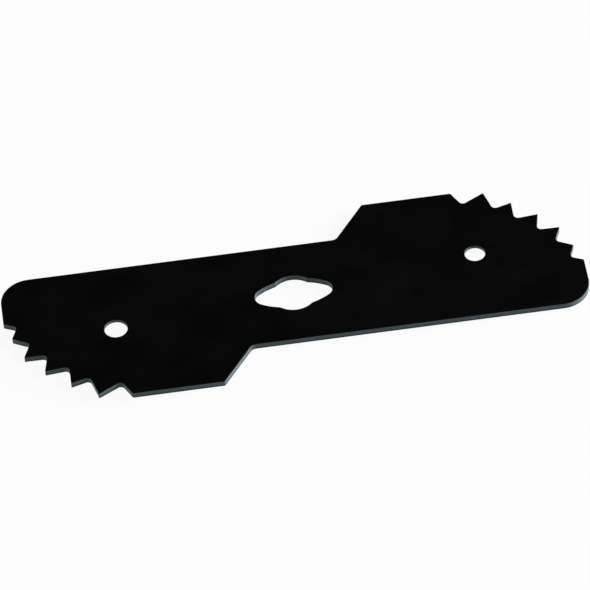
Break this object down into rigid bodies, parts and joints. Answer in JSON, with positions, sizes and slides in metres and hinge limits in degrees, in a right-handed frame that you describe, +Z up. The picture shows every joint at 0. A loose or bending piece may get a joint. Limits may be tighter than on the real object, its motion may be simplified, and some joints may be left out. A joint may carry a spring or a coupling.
{
  "type": "edger blade",
  "caption": "Flat steel lawn edger blade with a wing and a saw-toothed corner at each end, a lobed drive opening in the middle and two small round holes.",
  "frame": {"origin": "centre of the drive opening, on the lower face of the blade", "axes": "+X along the blade's length, +Y across it towards the wing of the +X end, +Z up through the sheet's thickness"},
  "size_m": [0.1906, 0.07, 0.0022],
  "materials": {
    "blade": "satin black coating on the faces, slate grey sheared edges"
  },
  "bodies": {
    "root": {"blade": "blade"}
  },
  "joints": []
}
